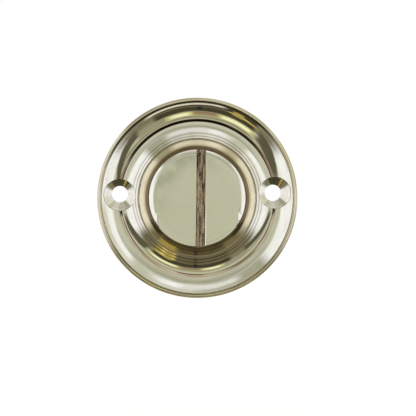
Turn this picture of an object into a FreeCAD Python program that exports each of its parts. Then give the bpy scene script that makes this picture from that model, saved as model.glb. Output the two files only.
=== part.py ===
"""Coin-release rose of a bathroom door lock: a turned rose with a slotted disc that turns in it.

Millimetres. The rose's axis is Y and the door lies on the +Y side. The origin is the centre of
the rose's back face, the face looks along -Y and +Z is up. Every height below is measured from
the back face towards the front, so a height h is the place y = -h.
"""
import FreeCAD, Part
import math
import os

# Rose: overall size and rim. Widths here are measured inwards from the rose's edge.
rose_diameter = 50.0
rim_side_height = 3.4        # straight side of the rim, above the door
rim_bead_width = 1.0         # half-round bead on the rim's edge
rim_crest_inset = 1.2        # sharp crest between the bead and the hollow

# Rose: hollow ring between rim and boss, in which the screw holes lie.
hollow_low_share = 0.4       # its lowest line lies here on the way from the boss (0) to the crest (1)
hollow_floor_height = 2.6    # inner floor, the lowest line of the rose's front
hollow_step_width = 0.45     # small step on the lowest line
hollow_step_height = 0.35    # the outer floor lies this much higher than the inner one
hollow_start_angle = 6.0     # slope with which the outer floor begins to rise
hollow_middle_angle = 19.5   # slope where its two arcs meet
hollow_end_angle = 39.7      # slope at the rim's crest
hollow_middle_share = 0.55   # the arcs meet here on the way from the step (0) to the crest (1)

# Rose: boss with the collar round the disc. Widths are measured outwards from the disc's bore.
shoulder_width = 0.9         # gentler cone between the bore and the collar
shoulder_angle = 16.0        # slope of the shoulder
collar_width = 1.45          # bright cone outside the shoulder
collar_angle = 25.5          # slope of the collar
collar_foot_quirk = 0.22     # width of the sunk line at the collar's foot
collar_foot_depth = 0.08     # and its depth
cone_width = 1.8             # cone between the collar's foot and the hollow
cone_angle = 28.8            # slope of the cone, where the hollow's inner arc ends

# Rose: web that carries the disc, and the recess behind it.
web_thickness = 1.05
recess_side_clearance = 1.5  # round the thrust washer
recess_mouth_chamfer = 0.4

# Screw holes of the rose, centred on the hollow's lowest line.
screw_rise = 0.97            # the row of holes lies this much above the rose's axis
screw_hole_diameter = 4.1
countersink_diameter = 8.0
countersink_angle = 120.0
countersink_floor_gap = 0.05  # the cone's mouth lies this much under the inner floor

# Release disc: head, stem and coin slot.
disc_diameter = 24.3
disc_proud = 0.5             # flat face above the bore's mouth
disc_thickness = 2.2
disc_edge_width = 1.45       # rounded edge, measured along the face
disc_edge_drop = 0.5         # and measured down the side
disc_side_clearance = 0.15
disc_seat_clearance = 0.05
coin_slot_width = 2.2
coin_slot_depth = 1.3
coin_slot_offset = 0.87      # the slot lies beside the disc's centre, on the +X side
coin_slot_bevel = 0.3
coin_slot_lean = 1.3         # degrees clockwise from upright, seen from the front
stem_diameter = 10.0
stem_running_clearance = 0.06
stem_tail = 6.0              # how far the stem reaches behind the back face
stem_end_chamfer = 0.5

# Square socket for the lock's spindle.
socket_width = 5.2
socket_depth = 8.5
socket_mouth_chamfer = 0.35

# Friction washer, thrust washer and retaining ring behind the web.
wave_count = 3
wave_sheet = 0.3
wave_height = 0.72           # over its waves, as compressed
wave_band = 2.6              # radial width
wave_stem_clearance = 0.4
wave_points = 8              # points of each wave's curve
washer_thickness = 0.5
washer_band = 3.4            # radial width
washer_stem_clearance = 0.1
stack_clearance = 0.03       # between neighbours of the stack
ring_thickness = 0.9
ring_groove_depth = 0.2
ring_groove_play = 0.05      # at each side of the ring
ring_seat_clearance = 0.02   # between the ring and the groove's floor
ring_band_back = 1.75        # widest part of the band, opposite its gap
ring_band_ends = 1.15        # narrowest part, beside the lugs
ring_lug_reach = 3.1         # from the ring's bore to the tip of a lug
ring_lug_diameter = 2.6
ring_lug_hole = 1.5
ring_lug_angle = 17.0        # of each lug's centre, from the middle of the gap
ring_gap_angle = 9.0         # half the open angle between the lugs

# Drawing: small arcs are drawn as this many flats, and cutters reach past the faces they open.
small_arc_flats = 4
cut_overshoot = 1.0
upright = 90.0

# Radii that follow from the sizes above, from the axis outwards.
FRONT = FreeCAD.Vector(0, -1, 0)
stem_radius = stem_diameter / 2
stem_bore_radius = stem_radius + stem_running_clearance
groove_radius = stem_radius - ring_groove_depth
ring_bore_radius = groove_radius + ring_seat_clearance
washer_bore_radius = stem_radius + washer_stem_clearance
washer_radius = washer_bore_radius + washer_band
recess_radius = washer_radius + recess_side_clearance
disc_radius = disc_diameter / 2
bore_radius = disc_radius + disc_side_clearance
shoulder_radius = bore_radius + shoulder_width
collar_foot_radius = shoulder_radius + collar_width
cone_radius = collar_foot_radius + cone_width
rim_radius = rose_diameter / 2
rim_crest_radius = rim_radius - rim_crest_inset
low_line_radius = cone_radius + hollow_low_share * (rim_crest_radius - cone_radius)
step_inner_radius = low_line_radius - hollow_step_width / 2
step_outer_radius = low_line_radius + hollow_step_width / 2

outer_run = hollow_middle_share * (rim_crest_radius - step_outer_radius)
outer_middle_radius = step_outer_radius + outer_run


def climb(run, slope, slope_there=None):
    """Rise over a run along a slope in degrees, or along an arc that ends at another slope."""
    if slope_there is None:
        slope_there = slope
    return run * math.tan(math.radians((slope + slope_there) / 2))


# Heights that follow, from the hollow's floor to the rim's crest, and up to the disc's face.
outer_floor_height = hollow_floor_height + hollow_step_height
outer_middle_height = outer_floor_height + climb(outer_run, hollow_start_angle, hollow_middle_angle)
rim_crest_height = outer_middle_height + climb(rim_crest_radius - outer_middle_radius,
                                               hollow_middle_angle, hollow_end_angle)
cone_height = hollow_floor_height + climb(step_inner_radius - cone_radius, 0, cone_angle)
collar_foot_height = cone_height + climb(cone_width, cone_angle)
shoulder_height = collar_foot_height + climb(collar_width, collar_angle)
bore_mouth_height = shoulder_height + climb(shoulder_width, shoulder_angle)
disc_face_height = bore_mouth_height + disc_proud

# Heights behind the face, down to the retaining ring.
disc_back_height = disc_face_height - disc_thickness
seat_height = disc_back_height - disc_seat_clearance
web_back_height = seat_height - web_thickness
wave_top_height = web_back_height - stack_clearance
washer_top_height = wave_top_height - wave_height - stack_clearance
ring_top_height = washer_top_height - washer_thickness - stack_clearance


def at(radius, height):
    """Point of a turned outline, in the plane through the axis and +X."""
    return FreeCAD.Vector(radius, -height, 0)


class Outline:
    """Closed outline of a turned piece, drawn point by point as lines and arcs."""

    def __init__(self, radius, height):
        self.start = at(radius, height)
        self.here = self.start
        self.edges = []

    def line(self, radius, height):
        there = at(radius, height)
        self.edges.append(Part.LineSegment(self.here, there).toShape())
        self.here = there

    def curve(self, radius, slope, slope_there, flats=0):
        """Arc to a radius between two slopes, in degrees and rising outwards, or flats along it."""
        middle_slope = (slope + slope_there) / 2
        sines = [math.sin(math.radians(turn)) for turn in (slope, middle_slope, slope_there)]
        run = radius - self.here.x
        half = run * (sines[1] - sines[0]) / (sines[2] - sines[0])
        height = -self.here.y
        middle = at(self.here.x + half, height + climb(half, slope, middle_slope))
        there = at(radius, height + climb(run, slope, slope_there))
        arc = Part.Arc(self.here, middle, there).toShape()
        if not flats:
            self.edges.append(arc)
            self.here = there
            return
        for point in arc.discretize(flats + 1)[1:]:
            self.edges.append(Part.LineSegment(self.here, point).toShape())
            self.here = point

    def turned(self):
        """Solid of revolution about the axis, closed with a line back to the start."""
        self.edges.append(Part.LineSegment(self.here, self.start).toShape())
        face = Part.Face(Part.Wire(self.edges))
        return face.revolve(FreeCAD.Vector(0, 0, 0), FreeCAD.Vector(0, 1, 0), 360)


def cylinder(radius, low, high, x=0.0, z=0.0):
    """Cylinder along the axis's direction between two heights."""
    return Part.makeCylinder(radius, high - low, FreeCAD.Vector(x, -low, z), FRONT)


def cone(radius_low, radius_high, low, high, x=0.0, z=0.0):
    """Cone along the axis's direction between two heights."""
    return Part.makeCone(radius_low, radius_high, high - low, FreeCAD.Vector(x, -low, z), FRONT)


def block(width_x, low, high, width_z):
    """Box centred on the axis between two heights."""
    corner = FreeCAD.Vector(-width_x / 2, -high, -width_z / 2)
    return Part.makeBox(width_x, high - low, width_z, corner)


def draw_rim(outline):
    """Side of the rim, half-round bead and sharp crest."""
    outline.line(rim_radius, rim_side_height)
    outline.curve(rim_radius - rim_bead_width, -upright, upright, small_arc_flats)
    outline.line(rim_crest_radius, rim_crest_height)


def draw_hollow(outline):
    """Outer arcs down to the small step on the hollow's lowest line, and the inner arc up."""
    outline.curve(outer_middle_radius, hollow_end_angle, hollow_middle_angle, small_arc_flats)
    outline.curve(step_outer_radius, hollow_middle_angle, hollow_start_angle)
    outline.line(step_inner_radius, hollow_floor_height)
    outline.curve(cone_radius, 0, -cone_angle)


def draw_boss(outline):
    """Cone, sunk line at the collar's foot, the collar, and the shoulder at the bore."""
    outline.line(collar_foot_radius + collar_foot_quirk,
                 collar_foot_height - climb(collar_foot_quirk, cone_angle))
    outline.line(collar_foot_radius, collar_foot_height - collar_foot_depth)
    outline.line(shoulder_radius, shoulder_height)
    outline.line(bore_radius, bore_mouth_height)


def make_rose():
    """Turned rose with its countersunk screw holes."""
    outline = Outline(recess_radius + recess_mouth_chamfer, 0)
    outline.line(rim_radius, 0)
    draw_rim(outline)
    draw_hollow(outline)
    draw_boss(outline)
    outline.line(bore_radius, seat_height)
    outline.line(stem_bore_radius, seat_height)
    outline.line(stem_bore_radius, web_back_height)
    outline.line(recess_radius, web_back_height)
    outline.line(recess_radius, recess_mouth_chamfer)
    screw_x = math.sqrt(low_line_radius ** 2 - screw_rise ** 2)
    return outline.turned().cut([screw_cutter(-screw_x), screw_cutter(screw_x)])


def screw_cutter(x):
    """Through hole, countersink and the clear path of the countersink's tool above it."""
    hole_radius = screw_hole_diameter / 2
    mouth_radius = countersink_diameter / 2
    mouth = hollow_floor_height - countersink_floor_gap
    sink_depth = (mouth_radius - hole_radius) / math.tan(math.radians(countersink_angle / 2))
    hole = cylinder(hole_radius, -cut_overshoot, mouth, x, screw_rise)
    sink = cone(hole_radius, mouth_radius, mouth - sink_depth, mouth, x, screw_rise)
    path = cylinder(mouth_radius, mouth, disc_face_height, x, screw_rise)
    return hole.fuse([sink, path]).removeSplitter()


def make_release_disc():
    """Head with rounded edge and coin slot, and the stem with ring groove and square socket."""
    groove_low = ring_top_height - ring_thickness - ring_groove_play
    groove_high = ring_top_height + ring_groove_play
    edge_angle = 2 * math.degrees(math.atan(disc_edge_drop / disc_edge_width))
    outline = Outline(0, disc_face_height)
    outline.line(disc_radius - disc_edge_width, disc_face_height)
    outline.curve(disc_radius, 0, -edge_angle, small_arc_flats)
    outline.line(disc_radius, disc_back_height)
    outline.line(stem_radius, disc_back_height)
    outline.line(stem_radius, groove_high)
    outline.line(groove_radius, groove_high)
    outline.line(groove_radius, groove_low)
    outline.line(stem_radius, groove_low)
    outline.line(stem_radius, -stem_tail + stem_end_chamfer)
    outline.line(stem_radius - stem_end_chamfer, -stem_tail)
    outline.line(0, -stem_tail)
    return outline.turned().cut([slot_cutter(), socket_cutter()])


def slot_cutter():
    """Coin slot across the head, with a bevel along both lips."""
    half = coin_slot_width / 2
    floor = disc_face_height - coin_slot_depth
    lip = disc_face_height - coin_slot_bevel
    wide = half + coin_slot_bevel + cut_overshoot
    top = disc_face_height + cut_overshoot
    section = [(half, floor), (half, lip), (wide, top), (-wide, top), (-half, lip), (-half, floor)]
    points = [FreeCAD.Vector(coin_slot_offset + x, -h, -disc_diameter) for x, h in section]
    cutter = Part.Face(Part.makePolygon(points + points[:1]))
    cutter = cutter.extrude(FreeCAD.Vector(0, 0, 2 * disc_diameter))
    cutter.rotate(FreeCAD.Vector(0, 0, 0), FreeCAD.Vector(0, 1, 0), coin_slot_lean)
    return cutter


def socket_cutter():
    """Square socket in the stem's end, with a chamfered mouth."""
    hole = block(socket_width, -stem_tail - cut_overshoot, -stem_tail + socket_depth, socket_width)
    wide = socket_width + 2 * socket_mouth_chamfer
    mouth = square_frustum(wide, -stem_tail, socket_width, -stem_tail + socket_mouth_chamfer)
    return hole.fuse(mouth)


def square_frustum(width_low, low, width_high, high):
    """Solid between two level squares centred on the axis."""
    wires = []
    for width, height in ((width_low, low), (width_high, high)):
        half = width / 2
        corners = [FreeCAD.Vector(x * half, -height, z * half)
                   for x, z in ((-1, -1), (1, -1), (1, 1), (-1, 1))]
        wires.append(Part.makePolygon(corners + corners[:1]))
    return Part.makeLoft(wires, True, True)


def wave_edge(radius, level):
    """Closed waved curve at a radius, about a mean level."""
    swing = (wave_height - wave_sheet) / 2
    count = wave_count * wave_points
    points = []
    for step in range(count):
        turn = 2 * math.pi * step / count
        height = level + swing * math.cos(wave_count * turn)
        points.append(FreeCAD.Vector(radius * math.cos(turn), -height, radius * math.sin(turn)))
    curve = Part.BSplineCurve()
    curve.interpolate(points, PeriodicFlag=True)
    return curve.toShape()


def make_wave_washer():
    """Thin spring ring with waves, between the web and the thrust washer."""
    inner = stem_radius + wave_stem_clearance
    outer = inner + wave_band
    middle = wave_top_height - wave_height / 2
    top = middle + wave_sheet / 2
    bottom = middle - wave_sheet / 2
    rails = [wave_edge(inner, bottom), wave_edge(outer, bottom),
             wave_edge(outer, top), wave_edge(inner, top)]
    faces = [Part.makeRuledSurface(rails[i - 1], rails[i]) for i in range(len(rails))]
    return Part.makeSolid(Part.makeShell(faces))


def make_thrust_washer():
    """Flat washer that the retaining ring bears on."""
    low = washer_top_height - washer_thickness
    outer = cylinder(washer_radius, low, washer_top_height)
    return outer.cut(cylinder(washer_bore_radius, low, washer_top_height))


def make_retaining_ring():
    """External retaining ring: tapering band, open at its lugs, with plier holes."""
    low = ring_top_height - ring_thickness
    high = ring_top_height
    band_radius = ring_bore_radius + (ring_band_back + ring_band_ends) / 2
    shift = (ring_band_back - ring_band_ends) / 2
    band = cylinder(band_radius, low, high, 0, -shift)
    lug_radius = ring_lug_diameter / 2
    lug_path = ring_bore_radius + ring_lug_reach - lug_radius
    holes = []
    for side in (-1, 1):
        turn = math.radians(90 + side * ring_lug_angle)
        x = lug_path * math.cos(turn)
        z = lug_path * math.sin(turn)
        neck = block(ring_lug_diameter, low, high, lug_path)
        neck.translate(FreeCAD.Vector(0, 0, lug_path / 2))
        neck.rotate(FreeCAD.Vector(0, 0, 0), FreeCAD.Vector(0, 1, 0), -side * ring_lug_angle)
        band = band.fuse([neck, cylinder(lug_radius, low, high, x, z)])
        holes.append(cylinder(ring_lug_hole / 2, low, high, x, z))
    bore = cylinder(ring_bore_radius, low, high)
    reach = ring_bore_radius + ring_lug_reach + cut_overshoot
    half_mouth = reach * math.tan(math.radians(ring_gap_angle))
    wedge = [at(0, low), FreeCAD.Vector(-half_mouth, -low, reach),
             FreeCAD.Vector(half_mouth, -low, reach), at(0, low)]
    gap = Part.Face(Part.makePolygon(wedge)).extrude(FRONT * ring_thickness)
    return band.cut([bore, gap] + holes).removeSplitter()


def main():
    os.makedirs("parts", exist_ok=True)
    nodes = {
        "rose": make_rose(),
        "release_disc": make_release_disc(),
        "wave_washer": make_wave_washer(),
        "thrust_washer": make_thrust_washer(),
        "retaining_ring": make_retaining_ring(),
    }
    for name, shape in nodes.items():
        shape.exportStep(os.path.join("parts", name + ".step"))
        print(name, "valid", shape.isValid(), "volume", round(shape.Volume, 2))
    print("heights: face", round(disc_face_height, 3), "rim crest", round(rim_crest_height, 3),
          "web back", round(web_back_height, 3),
          "ring low", round(ring_top_height - ring_thickness, 3))


main()
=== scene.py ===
"""Coin-release rose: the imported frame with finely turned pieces, polished metal and a pale studio.

Sizes are millimetres where they are named and metres in Blender. The frame's axes hold: the
rose's axis is Y, the face looks along -Y, +Z is up, and a height h is the place y = -h.
"""
import math

import bmesh
import bpy
from mathutils import Matrix

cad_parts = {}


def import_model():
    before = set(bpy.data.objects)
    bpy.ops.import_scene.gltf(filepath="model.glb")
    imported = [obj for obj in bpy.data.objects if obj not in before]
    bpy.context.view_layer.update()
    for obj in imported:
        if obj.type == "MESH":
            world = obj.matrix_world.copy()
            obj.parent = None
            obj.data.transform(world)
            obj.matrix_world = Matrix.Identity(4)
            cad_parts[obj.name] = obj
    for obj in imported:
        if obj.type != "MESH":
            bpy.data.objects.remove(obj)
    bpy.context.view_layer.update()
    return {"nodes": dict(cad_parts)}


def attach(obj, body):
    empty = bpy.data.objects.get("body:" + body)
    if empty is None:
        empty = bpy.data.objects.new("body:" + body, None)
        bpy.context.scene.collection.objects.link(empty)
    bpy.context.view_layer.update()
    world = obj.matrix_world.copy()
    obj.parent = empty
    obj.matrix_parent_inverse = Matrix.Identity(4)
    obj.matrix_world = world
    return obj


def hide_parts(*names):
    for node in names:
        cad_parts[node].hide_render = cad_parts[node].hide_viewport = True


MM = 0.001

# Rose, from its edge inwards: radii and heights. Angles are slopes in degrees.
rose_radius = 25.0
back_round = 0.15
side_height = 3.4
edge_drop = 0.35             # the outer round starts this much below side_height
edge_round = 0.28
edge_round_slope = 25.0      # slope where the outer round meets the bead
bead_width = 1.0             # the outer round and the bead together
bead_slopes = (60.0, 75.0)   # at the bead's outer and inner end
rim_crest_radius = 23.8
rim_flank = (0.05, 0.10)     # place and depth of the flank between the crest and the bead
rim_flank_slope = 75.0
rim_round = 0.03
middle_radius = 21.917
ring_foot_radius = 19.78
step_outer_radius = 19.615
step_inner_radius = 19.165
crease_radius = 19.14        # lowest line of the crease, and its depth
crease_depth = 0.18
valley_radius = 19.04
cone_radius = 16.45
collar_foot_radius = 14.65
shoulder_radius = 13.2
bore_radius = 12.3
low_line_radius = 19.39
outer_floor = 2.95
inner_floor = 2.6
start_angle = 6.0
middle_angle = 19.5
end_angle = 39.7
cone_angle = 28.8
collar_angle = 25.5
shoulder_angle = 16.0
cone_lean = 1.3              # the cone's face is this much gentler than cone_angle
fine_lines = (16.15, 15.44)
fine_line_width = 0.30
fine_line_depth = 0.0055
fine_line_shape = ((1, 0), (0.3, 0.8), (-0.3, 0.8), (-1, 0))   # parts of half the width, of depth
foot_quirk = 0.22            # groove at the foot of the collar
foot_depth = 0.22
foot_floor = (0.06, 0.03)    # where its floor starts and ends
foot_edge = 0.26             # narrow steep edge above it
foot_edge_angle = 52.0
shoulder_blend = 0.05
mouth_break = (0.06, 0.05)   # width and depth

# Rose, behind the face.
disc_clearance = 0.05
web_thickness = 1.05
stem_bore_radius = 5.06
recess_radius = 10.0
recess_chamfer = 0.4

# Screw holes.
screw_rise = 0.97
hole_radius = 2.05
sink_radius = 4.0
sink_angle = 120.0
sink_gap = 0.05
sink_inside = 0.4            # the countersink's cutter ends this far inside the hole
sink_tail = 0.6
hole_drifts = ((0.0, 0.25), (-0.45, 0.0))   # of the left and the right hole, in X and Z
screw_x = math.sqrt(low_line_radius ** 2 - screw_rise ** 2)

# Release disc. Its face ends at disc_flat, and each arc has a radius, a slope and a drawing step.
disc_radius = 12.15
disc_proud = 0.5
disc_thickness = 2.2
disc_flat = 9.0
disc_arcs = ((10.86, -2.5, 0.2), (10.98, -13.0, 0.02), (11.5, -15.5, 0.05), (11.85, -19.0, 0.05),
             (disc_radius, -88, 0.04))
flatter_reach = 0.45         # depth over which the lower edge of the face is less rounded
flatter_share = 0.88
flatter_start = 0.30         # sine of the angle below the sides where this starts on the face,
flatter_delay = 0.55         # how much later it starts for each millimetre under the face,
flatter_span = 0.09          # and over how much of the sine it comes in
slot_width = 2.3
slot_depth = 1.3
slot_offset = 0.89
slot_lean = 1.3
slot_lips = ((0.5, 0.15), (0.22, 0.07))   # width and depth at the right, then at the left
slot_scores = ((0.8, 0.05), (0.62, -0.02), (0.3, 0.04), (0.12, -0.04), (-0.2, 0.03),
               (-0.5, -0.03), (-0.72, 0.05))   # places and heights of the scores on its floor
stem_radius = 5.0
stem_tail = 6.0
stem_chamfer = 0.5
groove_depth = 0.2
groove_high = 1.176
groove_low = 0.176
socket_width = 5.2
socket_depth = 8.5

# Drawing. Cutters stand out by a margin.
rose_segments = 384
disc_segments = 256
hole_segments = 96
arc_step = 0.12
arc_turn = 6.0
sharp_angle = 24.0
cutter_margin = 1
lip_margin = 0.3
slot_cutter_length = 40

# Colours of the metal.
nickel = (0.925, 0.92, 0.855)
nickel_stain = (0.74, 0.70, 0.56)
nickel_ring = (0.62, 0.56, 0.47)
nickel_speck = (0.50, 0.44, 0.33)
unpolished = (0.60, 0.56, 0.46)
unpolished_light = (0.78, 0.75, 0.65)
front_heights = (1.2, 1.6)   # everything above these is the rose's front

# Tarnish, worn plate, painted shade and a painted highlight on the rose, as rings: inner and outer
# radius, soft edge, colour, share, roughness.
rose_zones = (
    (12.0, 13.06, 0.08, (0.25, 0.19, 0.11), 1.0, 0.07),      # shoulder: brown worn plate and painted shade
    # painted shadow line by the gap to the disc
    (12.38, 12.66, 0.06, (0.15, 0.11, 0.07), 0.6, 0.0),
    (13.06, 14.62, 0.10, (0.80, 0.73, 0.53), 1.0, 0.05),     # collar: worn plate and a painted warm reflection
    # painted shade at the collar's inner edge
    (13.0, 13.40, 0.16, (0.46, 0.40, 0.24), 0.7, 0.03),
    (14.36, 14.66, 0.05, (0.92, 0.88, 0.76), 0.9, 0.0),      # painted highlight on the edge at the collar's foot
    (14.90, 16.50, 0.15, (0.82, 0.80, 0.71), 0.5, 0.0),      # cone: painted shade of its fine grooves
    (14.68, 14.92, 0.06, (0.33, 0.28, 0.20), 1.0, 0.05),     # residue and painted shade in the groove at its top
    (15.32, 15.56, 0.06, (0.42, 0.38, 0.30), 0.9, 0.0),      # painted shade in the fine lines
    (16.04, 16.26, 0.06, (0.46, 0.42, 0.34), 0.9, 0.0),
    (19.08, 19.76, 0.06, (0.55, 0.42, 0.33), 0.8, 0.0),      # crease: residue and painted shade
    # painted shade beside the crease
    (19.76, 20.15, 0.12, (0.74, 0.64, 0.52), 0.6, 0.0),
    (23.74, 23.96, 0.06, (0.42, 0.33, 0.23), 0.7, 0.1),      # painted shade in the groove inside the bead
    (24.05, 25.20, 0.08, (0.86, 0.77, 0.54), 0.6, 0.04),     # bead and edge
    (24.62, 24.78, 0.06, (0.52, 0.43, 0.28), 0.35, 0.0),
)
disc_zones = ((0.0, 10.5, 0.5, (0.86, 0.86, 0.74), 0.5, 0.02),)

# Residue with painted shade, and marks on the rose. Bands are a low and a high limit and a soft
# edge, in millimetres of radius or in degrees from +X towards +Z.
crease_band = (19.02, 19.72, 0.06)
crest_band = (23.68, 24.06, 0.06)
upper_turn = (38, 154, 12.0)
brown_turns = ((12, 40, 8.0), (152, 170, 6.0))
right_turn = (-13, 0, 3.0)
left_turn = (-170, -166)
# Colours of residue with painted shade: black at the top and ends, brown at the sides, and on the
# crest.
black_residue_and_shade = (0.075, 0.065, 0.06)
brown_residue_and_shade = (0.24, 0.13, 0.10)
crest_residue_and_shade = (0.10, 0.08, 0.06)
mark_band = (23.35, 23.55, 0.12)
mark_turn = (122, 172, 5.0)
mark_wander = 0.9
mark_colour = (0.52, 0.40, 0.36)

# Painted shade on the disc: it grows towards the upper left, and between the radii.
disc_shade_lean = (-0.6, 0.8)
disc_shade_reach = 9
disc_shade_radii = (5, 10.4)
disc_shade_end = (10.6, 10.9)
disc_shade_colour = (0.62, 0.625, 0.545)

# Countersinks: rings left by the tool, as inner and outer distance from the hole's axis and share.
sink_rings = ((3.90, 4.2, 0.80), (3.10, 3.22, 0.45), (2.62, 2.70, 0.30))
sink_ring_soft = 0.05
sink_ring_colour = (0.36, 0.30, 0.21)
sink_nickel = (0.90, 0.88, 0.80)
sink_stain = (0.62, 0.56, 0.44)

# Slot: its sawn metal starts under a polished lip, between these depths.
lip_depths = (0.16, 0.24)
lip_nickel = (0.92, 0.90, 0.80)
sawn_dark = (0.10, 0.07, 0.055)
sawn_light = (0.66, 0.53, 0.39)
sawn_grime = (0.42, 0.34, 0.24)
sawn_fleck = (0.88, 0.84, 0.72)

# Hidden steel pieces: colour, bloom, roughness, and scratches for each metre up.
spring_steel = ((0.16, 0.16, 0.17), (0.10, 0.08, 0.06), 0.25, 2400.0)
zinc_steel = ((0.62, 0.63, 0.64), (0.45, 0.44, 0.42), 0.22, 300.0)

# Paints of the studio.
white = (1.0, 1.0, 1.0)
grey = (0.585, 0.585, 0.465)
low_grey = (0.545, 0.535, 0.39)
shade = (0.41, 0.40, 0.30)
dim_wall = (0.76, 0.75, 0.62)
post = (0.42, 0.41, 0.31)
lamp = (0.84, 0.83, 0.80)
bench = (0.24, 0.225, 0.145)
dim_bench = (0.18, 0.155, 0.085)
patch = (0.34, 0.33, 0.215)
sand = (0.41, 0.38, 0.21)
olive = (0.112, 0.103, 0.062)
dark = (0.062, 0.053, 0.030)
black = (0.022, 0.019, 0.020)
cream = (0.80, 0.72, 0.60)
gold = (0.46, 0.36, 0.10)
bright_gold = (1.0, 0.84, 0.26)
pink = (0.315, 0.212, 0.128)
glow_edge = (0.62, 0.57, 0.22)
glow = (1.0, 1.0, 0.66)
brown = (0.36, 0.27, 0.18)
ground = (0.62, 0.57, 0.37)
ground_right = (0.36, 0.33, 0.22)
soft_light = (0.95, 0.95, 0.95)

# Cards at the bench: paint, then a low limit, a high limit and a soft edge, in degrees, of the
# angle from straight below, positive to the right, and of the angle from the camera.
far = 200
bench_cards = (
    (patch, (-42, 44, 3.0), (19, 36, 2.0)),
    (sand, (-22, 10, 5.0), (18, 27, 2.0)),
    (bench, (-44, 62, 6.0), (13.5, 17.5, 1.5)),
    (dark, (-41, 28, 2.5), (34, far, 1.5)),
    (dim_bench, (-58, 56, 6.0), (52.5, 57.5, 1.5)),
    (black, (-4.0, -1.0, 1.5), (37, 56, 3.0)),
    (cream, (-18, 32, 3.0), (65, 74.5, 2.0)),
    (gold, (-41, -21, 2.0), (53.5, 57.5, 1.5)),
    (bright_gold, (-35, -22, 3.0), (54.0, 57.0, 1.0)),
    (gold, (-31, -24, 1.5), (47, 68, 3.0)),
    (gold, (-43, -27, 2.0), (49.5, 53.5, 1.0)),
    (pink, (-18, 6, 3.0), (23.5, 32.5, 1.5)),
    (glow_edge, (-43, -15, 1.5), (19, 32, 1.2)),
    (glow, (-40, -18, 2.0), (21.5, 29.5, 1.5)),
    (glow_edge, (2, 21, 1.5), (19, 32, 1.2)),
    (glow, (5, 18, 2.0), (21.5, 29.5, 1.5)),
)

# Camera and floor, in metres. The lens and the sensor are in millimetres, the roll in degrees.
lens = 200.0
sensor_width = 36.0
field_width = 0.10364        # what the frame spans at field_depth in front of the origin
field_depth = 0.004
camera_roll = 0.85
camera_shift = (0.0258, -0.0244)
floor_level = -0.06
floor_size = 1.5
floor_glow = 0.30


def climb(run, slope, slope_there=None):
    """Rise over a run along a slope in degrees, or along an arc that ends at another slope."""
    if slope_there is None:
        slope_there = slope
    return run * math.tan(math.radians((slope + slope_there) / 2))


middle_height = outer_floor + climb(middle_radius - step_outer_radius, start_angle, middle_angle)
rim_crest_height = middle_height + climb(rim_crest_radius - middle_radius, middle_angle, end_angle)
cone_height = inner_floor + climb(step_inner_radius - cone_radius, 0, cone_angle)
foot_height = cone_height + climb(cone_radius - collar_foot_radius, cone_angle)
shoulder_height = foot_height + climb(collar_foot_radius - shoulder_radius, collar_angle)
mouth_height = shoulder_height + climb(shoulder_radius - bore_radius, shoulder_angle)
face_height = mouth_height + disc_proud
disc_back = face_height - disc_thickness


class Profile:
    """Turned outline as (radius, height) points, with arcs drawn finely."""

    def __init__(self, radius, height):
        self.points = [(radius, height)]

    def line(self, radius, height, step=None):
        r0, h0 = self.points[-1]
        count = 1
        if step:
            count = max(1, math.ceil(math.hypot(radius - r0, height - h0) / step))
        for i in range(1, count + 1):
            t = i / count
            self.points.append((r0 + (radius - r0) * t, h0 + (height - h0) * t))

    def curve(self, radius, slope, slope_there, step=arc_step):
        """Circular arc to a radius between two slopes, in degrees and rising outwards."""
        r0, h0 = self.points[-1]
        first = math.sin(math.radians(slope))
        span = math.sin(math.radians(slope_there)) - first
        run = radius - r0
        length = math.hypot(run, climb(run, slope, slope_there))
        turned = math.radians(abs(slope_there - slope))
        count = max(4, math.ceil(length / step), math.ceil(turned / math.radians(arc_turn)))
        for i in range(1, count + 1):
            here = slope + (slope_there - slope) * i / count
            part = run * (math.sin(math.radians(here)) - first) / span
            self.points.append((r0 + part, h0 + climb(part, slope, here)))


def made_piece(name, bm):
    """Piece from a bmesh, with its faces turned outwards."""
    bmesh.ops.recalc_face_normals(bm, faces=bm.faces)
    mesh = bpy.data.meshes.new(name)
    bm.to_mesh(mesh)
    bm.free()
    piece = bpy.data.objects.new(name, mesh)
    bpy.context.scene.collection.objects.link(piece)
    return piece


def lathe(name, points, segments, closed=True, shaped=None):
    """Piece of revolution about Y. Points on the axis become one vertex.

    A function shaped(height, turn) may change the heights on their way round.
    """
    bm = bmesh.new()
    rings = []
    for radius, height in points:
        if radius < 1e-6:
            rings.append([bm.verts.new((0, -height * MM, 0))])
            continue
        ring = []
        for s in range(segments):
            turn = math.tau * s / segments
            level = shaped(height, turn) if shaped else height
            ring.append(bm.verts.new((radius * MM * math.cos(turn), -level * MM,
                                      radius * MM * math.sin(turn))))
        rings.append(ring)
    pairs = list(zip(rings, rings[1:]))
    if closed:
        pairs.append((rings[-1], rings[0]))
    for a, b in pairs:
        if len(a) == 1 and len(b) == 1:
            continue
        for s in range(segments):
            n = (s + 1) % segments
            if len(a) == 1:
                bm.faces.new((a[0], b[s], b[n]))
            elif len(b) == 1:
                bm.faces.new((a[s], b[0], a[n]))
            else:
                bm.faces.new((a[s], b[s], b[n], a[n]))
    return made_piece(name, bm)


def prism(name, section, length, turn):
    """Bar along Z with a section in X and height, turned about the axis by an angle."""
    bm = bmesh.new()
    ends = []
    for z in (-length / 2, length / 2):
        ends.append([bm.verts.new((x * MM, -h * MM, z * MM)) for x, h in section])
    count = len(section)
    for i in range(count):
        n = (i + 1) % count
        bm.faces.new((ends[0][i], ends[0][n], ends[1][n], ends[1][i]))
    bm.faces.new(ends[0])
    bm.faces.new(ends[1][::-1])
    bmesh.ops.rotate(bm, verts=bm.verts, matrix=Matrix.Rotation(math.radians(turn), 3, "Y"))
    return made_piece(name, bm)


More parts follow.
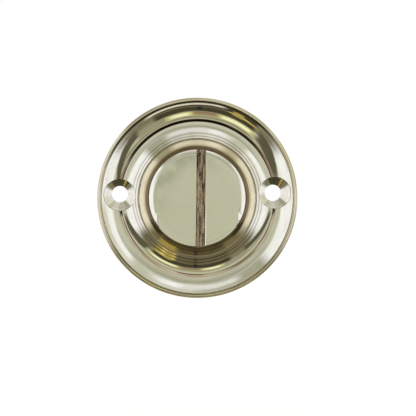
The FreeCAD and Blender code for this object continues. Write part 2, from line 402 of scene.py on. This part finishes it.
def cut(piece, cutter, metal):
    """Takes a cutter out of a piece, whose new faces get a metal, and deletes the cutter."""
    cutter.data.materials.append(metal)
    modifier = piece.modifiers.new("cut", "BOOLEAN")
    modifier.operation = "DIFFERENCE"
    modifier.solver = "EXACT"
    modifier.object = cutter
    modifier.material_mode = "TRANSFER"
    graph = bpy.context.evaluated_depsgraph_get()
    result = bpy.data.meshes.new_from_object(piece.evaluated_get(graph))
    piece.modifiers.remove(modifier)
    old = piece.data
    piece.data = result
    bpy.data.meshes.remove(old)
    bpy.data.objects.remove(cutter)


def smooth(piece):
    """Smooth shading with sharp edges where the faces turn by more than sharp_angle."""
    bm = bmesh.new()
    bm.from_mesh(piece.data)
    bmesh.ops.remove_doubles(bm, verts=bm.verts, dist=1e-7)
    limit = math.radians(sharp_angle)
    for face in bm.faces:
        face.smooth = True
    for edge in bm.edges:
        edge.smooth = len(edge.link_faces) == 2 and edge.calc_face_angle(0.0) < limit
    bm.to_mesh(piece.data)
    bm.free()


def cone_level(radius):
    return cone_height + climb(cone_radius - radius, cone_angle - cone_lean)


def rose_profile():
    """Outline from the recess behind, round the edge and inwards over the front to the web."""
    p = Profile(recess_radius + recess_chamfer, 0)
    p.line(rose_radius - back_round, 0, step=2.0)
    p.curve(rose_radius, 0, 90, step=0.05)
    p.line(rose_radius, side_height - edge_drop, step=0.8)
    p.curve(rose_radius - edge_round, -90, -edge_round_slope, step=0.05)
    outer_slope, inner_slope = bead_slopes
    p.curve(rose_radius - bead_width, -outer_slope, inner_slope, step=0.04)
    flank, depth = rim_flank
    p.line(rim_crest_radius + flank, rim_crest_height - depth, step=0.25)
    p.curve(rim_crest_radius - rim_round, -rim_flank_slope, end_angle, step=0.02)
    p.curve(middle_radius, end_angle, middle_angle)
    p.curve(ring_foot_radius, middle_angle, start_angle)
    p.line(crease_radius, inner_floor - crease_depth, step=0.2)
    p.line(valley_radius, cone_height - climb(valley_radius - cone_radius, 0, cone_angle))
    p.curve(cone_radius, 0, -cone_angle)
    for middle in fine_lines:
        for offset, part in fine_line_shape:
            r = middle + offset * fine_line_width / 2
            p.line(r, cone_level(r) - part * fine_line_depth, step=0.15)
    p.line(collar_foot_radius + foot_quirk, cone_level(collar_foot_radius + foot_quirk), step=0.15)
    for offset in foot_floor:
        p.line(collar_foot_radius + offset, foot_height - foot_depth)
    edge_height = foot_height + climb(foot_edge, collar_angle)
    p.line(collar_foot_radius, edge_height - climb(foot_edge, foot_edge_angle))
    p.line(collar_foot_radius - foot_edge, edge_height)
    blend = shoulder_blend
    p.line(shoulder_radius + blend, shoulder_height - climb(blend, collar_angle), step=0.15)
    p.line(shoulder_radius - blend, shoulder_height + climb(blend, shoulder_angle))
    width, depth = mouth_break
    p.line(bore_radius + width, mouth_height - climb(width, shoulder_angle), step=0.15)
    p.line(bore_radius, mouth_height - depth)
    seat = disc_back - disc_clearance
    p.line(bore_radius, seat, step=0.6)
    p.line(stem_bore_radius, seat, step=1.5)
    p.line(stem_bore_radius, seat - web_thickness)
    p.line(recess_radius, seat - web_thickness, step=1.5)
    p.line(recess_radius, recess_chamfer, step=0.6)
    return p.points


def disc_profile():
    """Head whose edge rounds over ever faster towards its side, and the stem behind it."""
    p = Profile(0, face_height)
    p.line(disc_flat, face_height, step=0.8)
    slope = 0
    for radius, slope_there, step in disc_arcs:
        p.curve(radius, slope, slope_there, step=step)
        slope = slope_there
    p.line(disc_radius, disc_back, step=0.7)
    p.line(stem_radius, disc_back, step=1.5)
    p.line(stem_radius, groove_high, step=0.6)
    p.line(stem_radius - groove_depth, groove_high)
    p.line(stem_radius - groove_depth, groove_low)
    p.line(stem_radius, groove_low)
    p.line(stem_radius, -stem_tail + stem_chamfer, step=0.6)
    p.line(stem_radius - stem_chamfer, -stem_tail)
    p.line(0, -stem_tail, step=1.5)
    return p.points


def flatter_below(height, turn):
    """The disc's face is rounded at its sides and top, and stays nearly flat at its lower edge."""
    depth = face_height - height
    if depth > flatter_reach:
        return height
    low = (-math.sin(turn) - flatter_start - flatter_delay * depth) / flatter_span
    low = min(1.0, max(0.0, low))
    return face_height - depth * (1 - flatter_share * low * low * (3 - 2 * low))


def make_rose(metal, hole_metal):
    rose = lathe("rose_polished", rose_profile(), rose_segments)
    rose.data.materials.append(metal)
    mouth = inner_floor - sink_gap
    sink_depth = (sink_radius - hole_radius) / math.tan(math.radians(sink_angle / 2))
    steepness = sink_depth / (sink_radius - hole_radius)
    for side, (drift_x, drift_z) in zip((-1, 1), hole_drifts):
        p = Profile(0, mouth - sink_depth - sink_tail)
        p.line(hole_radius - sink_inside, mouth - sink_depth - sink_tail)
        p.line(hole_radius - sink_inside, mouth - sink_depth - sink_inside * steepness)
        p.line(sink_radius, mouth, step=0.25)
        p.line(sink_radius, face_height)
        p.line(0, face_height)
        sink = lathe("cutter", p.points, hole_segments, closed=False)
        sink.data.transform(Matrix.Translation((side * screw_x * MM, 0, screw_rise * MM)))
        cut(rose, sink, hole_metal)
        p = Profile(0, -cutter_margin)
        p.line(hole_radius, -cutter_margin)
        p.line(hole_radius, face_height)
        p.line(0, face_height)
        hole = lathe("cutter", p.points, hole_segments, closed=False)
        hole.data.transform(Matrix.Translation(((side * screw_x + drift_x) * MM, 0,
                                                (screw_rise + drift_z) * MM)))
        cut(rose, hole, hole_metal)
    smooth(rose)
    return rose


def make_disc(metal, slot_metal):
    disc = lathe("release_disc_polished", disc_profile(), disc_segments, closed=False,
                 shaped=flatter_below)
    disc.data.materials.append(metal)
    half = slot_width / 2
    floor = face_height - slot_depth
    over = lip_margin
    (right_width, right_depth), (left_width, left_depth) = slot_lips
    section = [(half, floor), (half, face_height - right_depth),
               (half + right_width * (1 + over / right_depth), face_height + over),
               (-half - left_width * (1 + over / left_depth), face_height + over),
               (-half, face_height - left_depth), (-half, floor)]
    section += [(x, floor + h) for x, h in reversed(slot_scores)]
    section = [(x + slot_offset, h) for x, h in section]
    cut(disc, prism("cutter", section, slot_cutter_length, slot_lean), slot_metal)
    half = socket_width / 2
    low, high = -stem_tail - cutter_margin, -stem_tail + socket_depth
    section = [(-half, low), (half, low), (half, high), (-half, high)]
    cut(disc, prism("cutter", section, socket_width, 0), slot_metal)
    smooth(disc)
    return disc


class Nodes:
    """Short way to build a node tree. A value is a number, a colour or another node's output."""

    def __init__(self, tree):
        self.tree = tree

    def add(self, kind, **settings):
        node = self.tree.nodes.new(kind)
        for key, value in settings.items():
            setattr(node, key, value)
        return node

    def put(self, socket, value):
        if hasattr(value, "is_output"):
            self.tree.links.new(value, socket)
        else:
            socket.default_value = value

    def math(self, operation, a, b=0.0):
        node = self.add("ShaderNodeMath", operation=operation)
        self.put(node.inputs[0], a)
        self.put(node.inputs[1], b)
        return node.outputs[0]

    def plus(self, a, b):
        return self.math("ADD", a, b)

    def minus(self, a, b):
        return self.math("SUBTRACT", a, b)

    def times(self, first, *others):
        for other in others:
            first = self.math("MULTIPLY", first, other)
        return first

    def length(self, a, b):
        return self.math("SQRT", self.plus(self.times(a, a), self.times(b, b)))

    def joined(self, a, b, c):
        node = self.add("ShaderNodeCombineXYZ")
        for socket, value in zip(node.inputs, (a, b, c)):
            self.put(socket, value)
        return node.outputs[0]

    def split(self, vector):
        node = self.add("ShaderNodeSeparateXYZ")
        self.put(node.inputs[0], vector)
        return node.outputs

    def turn(self, x, z):
        """Angle about Y from +X towards +Z, in degrees."""
        return self.math("DEGREES", self.math("ARCTAN2", z, x))

    def ramp(self, value, low, high, out_low=0.0, out_high=1.0):
        """Smooth step from one level to another."""
        node = self.add("ShaderNodeMapRange", interpolation_type="SMOOTHSTEP")
        self.put(node.inputs["Value"], value)
        self.put(node.inputs["From Min"], low)
        self.put(node.inputs["From Max"], high)
        self.put(node.inputs["To Min"], out_low)
        self.put(node.inputs["To Max"], out_high)
        return node.outputs["Result"]

    def band(self, value, low, high, soft):
        """One between two limits, with soft edges."""
        up = self.ramp(value, self.minus(low, soft), self.plus(low, soft))
        down = self.ramp(value, self.minus(high, soft), self.plus(high, soft), 1, 0)
        return self.times(up, down)

    def ring(self, radius, low, high, soft):
        """Band of a radius in metres, with limits in millimetres."""
        return self.band(radius, low * MM, high * MM, soft * MM)

    def mix(self, factor, a, b):
        node = self.add("ShaderNodeMix", data_type="RGBA")
        self.put(node.inputs[0], factor)
        for socket, value in ((node.inputs[6], a), (node.inputs[7], b)):
            self.put(socket, value if hasattr(value, "is_output") else (*value, 1))
        return node.outputs[2]

    def noise(self, vector, scale, detail=3.0, roughness=0.5):
        node = self.add("ShaderNodeTexNoise")
        self.put(node.inputs["Vector"], vector)
        self.put(node.inputs["Scale"], scale)
        self.put(node.inputs["Detail"], detail)
        self.put(node.inputs["Roughness"], roughness)
        return node.outputs["Fac"]

    def stretched(self, vector, detail=3.0, roughness=0.6):
        """Noise over a vector that is already scaled."""
        return self.noise(vector, 1.0, detail, roughness)


def new_material(name):
    material = bpy.data.materials.new(name)
    material.use_nodes = True
    material.node_tree.nodes.clear()
    kit = Nodes(material.node_tree)
    shader = kit.add("ShaderNodeBsdfPrincipled")
    output = kit.add("ShaderNodeOutputMaterial")
    kit.tree.links.new(shader.outputs[0], output.inputs[0])
    shader.inputs["Metallic"].default_value = 1.0
    return material, kit, shader


def object_coordinates(kit):
    """Object coordinates, and the distance from the turning axis, in metres."""
    place = kit.add("ShaderNodeTexCoord").outputs["Object"]
    x, y, z = kit.split(place)
    return place, x, y, z, kit.length(x, z)


def connect(kit, shader, colour, roughness, layers):
    """Feeds a shader. layers are bumps as (height, depth in metres), one on the other."""
    kit.put(shader.inputs["Base Color"], colour)
    kit.put(shader.inputs["Roughness"], roughness)
    normal = None
    for height, depth in layers:
        bump = kit.add("ShaderNodeBump")
        bump.inputs["Strength"].default_value = 1.0
        bump.inputs["Distance"].default_value = depth
        kit.put(bump.inputs["Height"], height)
        if normal is not None:
            kit.put(bump.inputs["Normal"], normal)
        normal = bump.outputs[0]
    kit.put(shader.inputs["Normal"], normal)


def front_of(kit, y):
    low, high = front_heights
    return kit.ramp(y, -low * MM, -high * MM)


def polished_nickel(name, zones, ring_depth=5.0e-6, rough=0.035, ring_share=0.40):
    """Polished plate on turned brass: rings of the lathe, slow waves of the mop, and tarnish with
    painted shade and highlights.

    zones are (inner radius, outer radius, soft edge, colour, share, roughness) in millimetres,
    and lie on the front only. Faces that look back are left unpolished.
    """
    material, kit, shader = new_material(name)
    place, x, y, z, radius = object_coordinates(kit)
    streak = kit.stretched(kit.joined(kit.times(x, 60.0), kit.times(z, 60.0),
                                      kit.times(radius, 2600.0)))
    wave = kit.noise(place, 130.0, 2.0)
    cloud = kit.noise(place, 240.0, 4.0, 0.6)
    speck = kit.noise(place, 2600.0, 2.0)
    colour = kit.mix(kit.times(kit.ramp(cloud, 0.5, 0.8), 0.22), nickel, nickel_stain)
    colour = kit.mix(kit.times(kit.ramp(streak, 0.50, 0.72), ring_share), colour, nickel_ring)
    colour = kit.mix(kit.times(kit.ramp(speck, 0.66, 0.74), 0.35), colour, nickel_speck)
    level = kit.plus(kit.times(kit.ramp(cloud, 0.35, 0.75), 0.04), rough)
    front = front_of(kit, y)
    for inner, outer, soft, tint, share, roughness in zones:
        uneven = kit.plus(1.0, kit.times(kit.ramp(cloud, 0.40, 0.60), share - 1.0))
        mask = kit.times(kit.ring(radius, inner, outer, soft), share, front, uneven)
        colour = kit.mix(mask, colour, tint)
        level = kit.plus(level, kit.times(mask, roughness))
    facing = kit.split(kit.add("ShaderNodeTexCoord").outputs["Normal"])
    back = kit.ramp(facing[1], 0.6, 0.9)
    turned = kit.mix(streak, unpolished, unpolished_light)
    colour = kit.mix(kit.times(back, 0.8), colour, turned)
    level = kit.plus(level, kit.times(back, 0.28))
    connect(kit, shader, colour, level, [(wave, 3.0e-5), (streak, ring_depth)])
    return material, kit, shader


def add_residue_shade_and_marks(kit, shader):
    """Residue with painted shade in the crease and along the crest, and a row of tool marks at the
    upper left.
    """
    place, x, y, z, radius = object_coordinates(kit)
    turn = kit.turn(x, z)
    front = front_of(kit, y)
    base = shader.inputs["Base Color"]
    colour = base.links[0].from_socket
    wander = kit.noise(kit.joined(kit.times(turn, 0.12), 0.0, 0.0), 1.0, 1.0)
    row = kit.ring(kit.plus(radius, kit.times(wander, mark_wander * MM)), *mark_band)
    spots = kit.stretched(kit.joined(kit.times(turn, 0.9), kit.times(radius, 1500.0), 0.0), 2.0)
    mask = kit.times(row, kit.ramp(spots, 0.50, 0.60), kit.band(turn, *mark_turn))
    colour = kit.mix(kit.times(mask, front, 0.75), colour, mark_colour)
    upper = kit.band(turn, *upper_turn)
    sides = kit.plus(*(kit.band(turn, *limits) for limits in brown_turns))
    ends = kit.plus(kit.band(turn, *right_turn), kit.ramp(turn, *left_turn, 1, 0))
    dirty_and_shaded = kit.math("MAXIMUM", upper, ends)
    share = kit.math("MAXIMUM", dirty_and_shaded, kit.times(sides, 0.75))
    # Painted shade with the residue: black at the top and at the ends, brown at the sides.
    residue_and_shade = kit.mix(dirty_and_shaded, brown_residue_and_shade, black_residue_and_shade)
    crease = kit.times(kit.ring(radius, *crease_band), front, share, 0.96)
    colour = kit.mix(crease, colour, residue_and_shade)
    # Painted shade with residue along the crest at the top.
    crest = kit.times(kit.ring(radius, *crest_band), upper, front, 0.93)
    kit.put(base, kit.mix(crest, colour, crest_residue_and_shade))


def add_disc_shade(kit, shader):
    """Painted shade towards the upper left of the disc."""
    place, x, y, z, radius = object_coordinates(kit)
    lean_x, lean_z = disc_shade_lean
    lean = kit.plus(kit.times(z, lean_z), kit.times(x, lean_x))
    inner, outer = disc_shade_radii
    edge, end = disc_shade_end
    painted_shade = kit.times(kit.ramp(lean, 0.0, disc_shade_reach * MM),
                     kit.ramp(radius, inner * MM, outer * MM),
                     kit.ramp(kit.noise(place, 160.0), 0.25, 0.60),
                     kit.ramp(radius, edge * MM, end * MM, 1, 0))
    base = shader.inputs["Base Color"]
    kit.put(base, kit.mix(painted_shade, base.links[0].from_socket, disc_shade_colour))


def countersink_nickel(name):
    """Plate over a drilled cone: rings about the hole's own axis."""
    material, kit, shader = new_material(name)
    place, x, y, z, radius = object_coordinates(kit)
    reach = kit.length(kit.minus(kit.math("ABSOLUTE", x), screw_x * MM),
                       kit.minus(z, screw_rise * MM))
    streak = kit.stretched(kit.joined(kit.times(x, 150.0), kit.times(z, 150.0),
                                      kit.times(reach, 3200.0)))
    cloud = kit.noise(place, 900.0, 4.0, 0.6)
    colour = kit.mix(kit.times(kit.ramp(cloud, 0.45, 0.7), 0.5), sink_nickel, sink_stain)
    for inner, outer, share in sink_rings:
        ring = kit.ring(reach, inner, outer, sink_ring_soft)
        colour = kit.mix(kit.times(ring, share), colour, sink_ring_colour)
    connect(kit, shader, colour, kit.plus(0.04, kit.times(streak, 0.08)),
            [(cloud, 5.0e-6), (streak, 4.0e-6)])
    return material


def sawn_nickel(name):
    """Sawn slot: rough, with brown streaks along it and flecks of plate, under a bright lip."""
    material, kit, shader = new_material(name)
    place, x, y, z, radius = object_coordinates(kit)
    streak = kit.stretched(kit.joined(kit.times(x, 2300.0), kit.times(y, 2300.0),
                                      kit.times(z, 260.0)), 4.0, 0.65)
    grime = kit.noise(place, 900.0, 5.0, 0.65)
    fleck = kit.noise(place, 1700.0, 3.0, 0.7)
    colour = kit.mix(kit.ramp(streak, 0.42, 0.56), sawn_dark, sawn_light)
    colour = kit.mix(kit.times(kit.ramp(grime, 0.45, 0.70), 0.5), colour, sawn_grime)
    colour = kit.mix(kit.ramp(fleck, 0.63, 0.69), colour, sawn_fleck)
    low, high = lip_depths
    deep = kit.ramp(y, -(face_height - low) * MM, -(face_height - high) * MM)
    colour = kit.mix(deep, lip_nickel, colour)
    connect(kit, shader, colour, kit.plus(0.12, kit.times(deep, 0.30)),
            [(kit.times(streak, deep), 1.0e-4), (grime, 1.5e-5)])
    return material


def plain_steel(name, colour, bloom, rough, streaks):
    """Rolled or ground steel with fine scratches and a little bloom."""
    material, kit, shader = new_material(name)
    place, x, y, z, radius = object_coordinates(kit)
    scratch = kit.stretched(kit.joined(kit.times(x, 300.0), kit.times(y, 300.0),
                                       kit.times(z, streaks)), 4.0)
    cloud = kit.noise(place, 500.0, 4.0, 0.6)
    connect(kit, shader, kit.mix(kit.ramp(cloud, 0.4, 0.7), colour, bloom),
            kit.plus(rough, kit.times(cloud, 0.2)), [(scratch, 6.0e-6), (cloud, 1.0e-5)])
    return material


def make_studio():
    """Room of large soft cards round the object, as its polish shows them. The camera sees white.

    off is the angle from the camera, turn goes round it from the right, and below starts
    straight down and is positive to the right, all in degrees.
    """
    world = bpy.data.worlds.new("studio")
    bpy.context.scene.world = world
    world.use_nodes = True
    world.node_tree.nodes.clear()
    kit = Nodes(world.node_tree)
    direction = kit.add("ShaderNodeTexCoord").outputs["Generated"]
    x, y, z = kit.split(direction)
    off = kit.math("DEGREES", kit.math("ARCCOSINE", kit.times(y, -1.0)))
    turn = kit.turn(x, z)
    below = kit.plus(turn, 90.0)

    def card(colour, paint, *masks):
        return kit.mix(kit.times(*masks), colour, paint)

    # Straight in front the camera and its stand: lighter above, warmer below, wider to the top.
    tilt = kit.math("ABSOLUTE", turn)
    tilt = kit.math("MINIMUM", tilt, kit.minus(180.0, tilt))
    edge = kit.math("MINIMUM", kit.plus(23.5, kit.times(tilt, 0.30)), 33.0)
    edge = kit.plus(edge, kit.ramp(x, -0.3, 0.3, -1.5, 1.5))
    centre = kit.mix(kit.ramp(z, -0.2, 0.15), low_grey, grey)
    centre = card(centre, shade, kit.ramp(off, 12, 25), kit.ramp(turn, 20, 60),
                  kit.ramp(turn, 120, 160, 1, 0))
    # Walls, a little dimmer at the right.
    walls = card(white, dim_wall, kit.band(turn, 4, 44, 6.0), kit.ramp(off, 50, 62))
    colour = kit.mix(kit.ramp(kit.minus(off, edge), -4.5, 4.5, 1, 0), walls, centre)
    # Posts above, and the window between them, brightest at its right.
    posts = kit.mix(kit.ramp(x, -0.1, 0.1), post, grey)
    colour = card(colour, posts, kit.band(turn, 42.5, 137.5, 5.0), kit.ramp(off, 29, 34))
    window = kit.mix(kit.band(turn, 66, 79, 5.0), lamp, white)
    colour = card(colour, window, kit.band(turn, 59, 116, 6.0), kit.ramp(off, 31, 41),
                  kit.ramp(off, 51, 62, 1, 0.25))
    # Bench below, which fades into the walls, and the cards and lamps at it.
    colour = card(colour, bench, kit.ramp(below, -68, -51), kit.ramp(below, 44, 67, 1, 0),
                  kit.ramp(off, 30, 37))
    for paint, across, away in bench_cards:
        colour = card(colour, paint, kit.band(below, *across), kit.band(off, *away))
    # Wings beside the bench, which slant: left and right start at 75 degrees from straight down.
    left = kit.plus(75.0, below)
    inner = kit.plus(7.5, kit.times(0.0137, left, left))
    outer = kit.plus(23.0, left)
    colour = card(colour, olive, kit.band(left, -2, 30, 2.5), kit.band(off, inner, outer, 2.0))
    right = kit.minus(75.0, below)
    inner = kit.plus(10.0, kit.times(0.56, right))
    outer = kit.plus(22.5, kit.times(0.90, right))
    colour = card(colour, olive, kit.band(right, -3, 33, 2.5), kit.band(off, inner, outer, 2.5))
    # Level with the object a dark belt, black below and straight to the right. Ground behind.
    colour = card(colour, brown, kit.band(off, 76, 100, 3.0))
    colour = card(colour, black, kit.band(below, -62, 62, 4.0), kit.band(off, 75, 93, 2.0))
    colour = card(colour, black, kit.ramp(kit.math("ABSOLUTE", turn), 12, 16, 1, 0),
                  kit.band(off, 77, 86, 2.0))
    behind = kit.mix(kit.band(below, 42, 100, 14.0), ground, ground_right)
    colour = card(colour, behind, kit.band(below, -72, 84, 12.0), kit.ramp(off, 96, 102))
    # Nothing in the room is quite even.
    mottle = kit.noise(direction, 9.0, 4.0, 0.6)
    colour = kit.mix(kit.ramp(mottle, 0.40, 0.72), colour, kit.mix(0.14, colour, black))
    path = kit.add("ShaderNodeLightPath")
    seen = kit.mix(path.outputs["Is Diffuse Ray"], colour, soft_light)
    seen = kit.mix(path.outputs["Is Camera Ray"], seen, white)
    background = kit.add("ShaderNodeBackground")
    kit.put(background.inputs["Color"], seen)
    background.inputs["Strength"].default_value = 1.0
    output = kit.add("ShaderNodeOutputWorld")
    kit.tree.links.new(background.outputs[0], output.inputs[0])


def make_floor():
    """Pale floor that keeps the object's shadow."""
    bm = bmesh.new()
    bmesh.ops.create_grid(bm, x_segments=8, y_segments=8, size=floor_size)
    bmesh.ops.translate(bm, verts=bm.verts, vec=(0, 0, floor_level))
    mesh = bpy.data.meshes.new("floor")
    bm.to_mesh(mesh)
    bm.free()
    floor = bpy.data.objects.new("floor", mesh)
    bpy.context.scene.collection.objects.link(floor)
    material = bpy.data.materials.new("floor_pale")
    material.use_nodes = True
    tree = material.node_tree
    tree.nodes.clear()
    kit = Nodes(tree)
    diffuse = kit.add("ShaderNodeBsdfDiffuse")
    diffuse.inputs["Color"].default_value = (0.8, 0.8, 0.8, 1)
    shine = kit.add("ShaderNodeEmission")
    path = kit.add("ShaderNodeLightPath")
    direct = kit.math("MAXIMUM", path.outputs["Is Camera Ray"], path.outputs["Is Glossy Ray"])
    direct = kit.math("MAXIMUM", direct, path.outputs["Is Transmission Ray"])
    kit.put(shine.inputs["Strength"], kit.times(direct, floor_glow))
    both = kit.add("ShaderNodeAddShader")
    tree.links.new(diffuse.outputs[0], both.inputs[0])
    tree.links.new(shine.outputs[0], both.inputs[1])
    output = kit.add("ShaderNodeOutputMaterial")
    tree.links.new(both.outputs[0], output.inputs[0])
    mesh.materials.append(material)
    floor.visible_glossy = False


def make_camera():
    data = bpy.data.cameras.new("camera")
    camera = bpy.data.objects.new("camera", data)
    bpy.context.scene.collection.objects.link(camera)
    data.lens = lens
    data.sensor_width = sensor_width
    camera.location = (0, -field_width * lens / sensor_width - field_depth, 0)
    camera.rotation_euler = (math.radians(90), math.radians(camera_roll), 0)
    data.shift_x, data.shift_y = camera_shift
    data.clip_start = 0.01
    data.clip_end = 20.0
    bpy.context.scene.camera = camera


def main():
    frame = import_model()
    rose_metal, kit, shader = polished_nickel("rose_nickel", rose_zones)
    add_residue_shade_and_marks(kit, shader)
    disc_metal, kit, shader = polished_nickel("disc_nickel", disc_zones, ring_depth=0.6e-6,
                                              rough=0.05, ring_share=0.08)
    # painted shade on the disc's upper left
    add_disc_shade(kit, shader)
    sink_metal = countersink_nickel("countersink_nickel")
    slot_metal = sawn_nickel("slot_nickel")
    steel = plain_steel("spring_steel", *spring_steel)
    zinc = plain_steel("zinc_steel", *zinc_steel)
    rose = make_rose(rose_metal, sink_metal)
    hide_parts("rose")
    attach(rose, "rose")
    disc = make_disc(disc_metal, slot_metal)
    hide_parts("release_disc")
    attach(disc, "release")
    for name, material in (("wave_washer", steel), ("thrust_washer", zinc),
                           ("retaining_ring", steel)):
        mesh = frame["nodes"][name].data
        mesh.materials.clear()
        mesh.materials.append(material)
    make_studio()
    make_floor()
    make_camera()
    bpy.context.scene.view_settings.view_transform = "Standard"


main()
